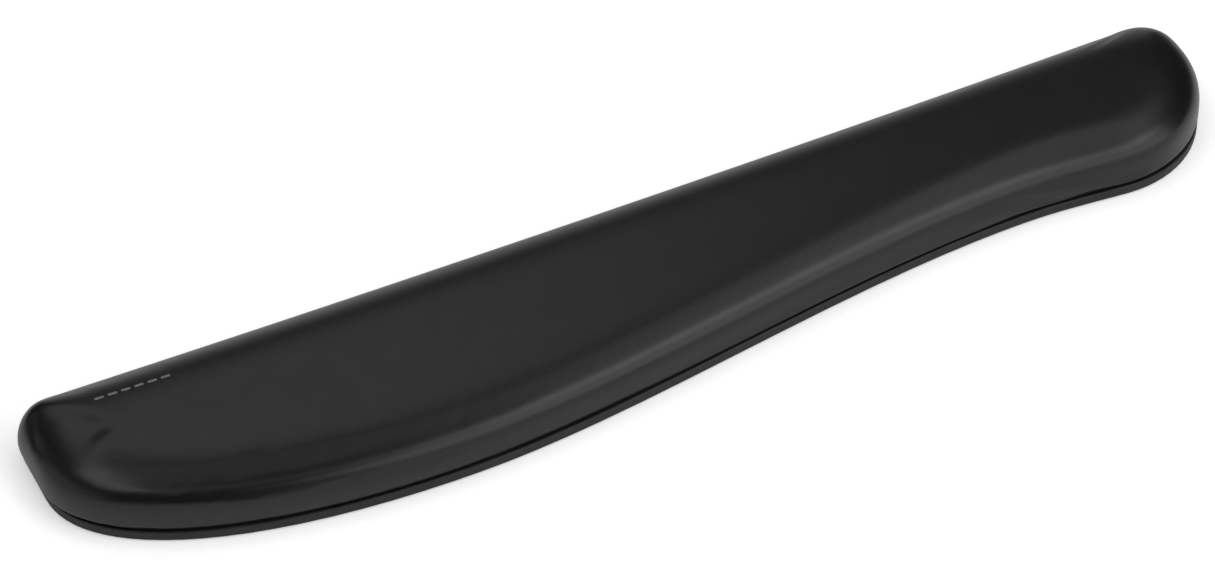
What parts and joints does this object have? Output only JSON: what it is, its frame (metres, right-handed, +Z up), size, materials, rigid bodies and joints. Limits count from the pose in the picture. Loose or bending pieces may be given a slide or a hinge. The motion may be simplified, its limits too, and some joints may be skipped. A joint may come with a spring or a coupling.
{
  "type": "keyboard wrist rest",
  "caption": "Long padded wrist rest for the front of a keyboard: a gel pad in a thin black leatherette cover on a shallow plastic tray with rubber feet.",
  "frame": {"origin": "on the desk, below the centre of the footprint's bounding box", "axes": "+X along the keyboard towards its number pad, +Y to the keyboard, +Z up"},
  "size_m": [0.47, 0.088, 0.0245],
  "materials": {
    "cover_leatherette": "satin",
    "mark_ink": "matte",
    "gel_film": "gloss",
    "gel": "gloss",
    "foam": "matte",
    "board": "matte",
    "tape": "matte",
    "tray_plastic": "fine texture",
    "foot_rubber": "matte"
  },
  "bodies": {
    "root": {"cover_skin": "cover_leatherette", "printed_mark": "mark_ink", "gel_film_upper": "gel_film", "gel_core": "gel", "gel_film_lower": "gel_film", "support_foam": "foam", "backing_board": "board", "pad_tape": "tape", "base_tray": "tray_plastic", "foot_tapes": "tape", "foot_back_left": "foot_rubber", "foot_back_centre": "foot_rubber", "foot_back_right": "foot_rubber", "foot_front_left": "foot_rubber", "foot_front_centre": "foot_rubber", "foot_front_right": "foot_rubber"}
  },
  "joints": []
}
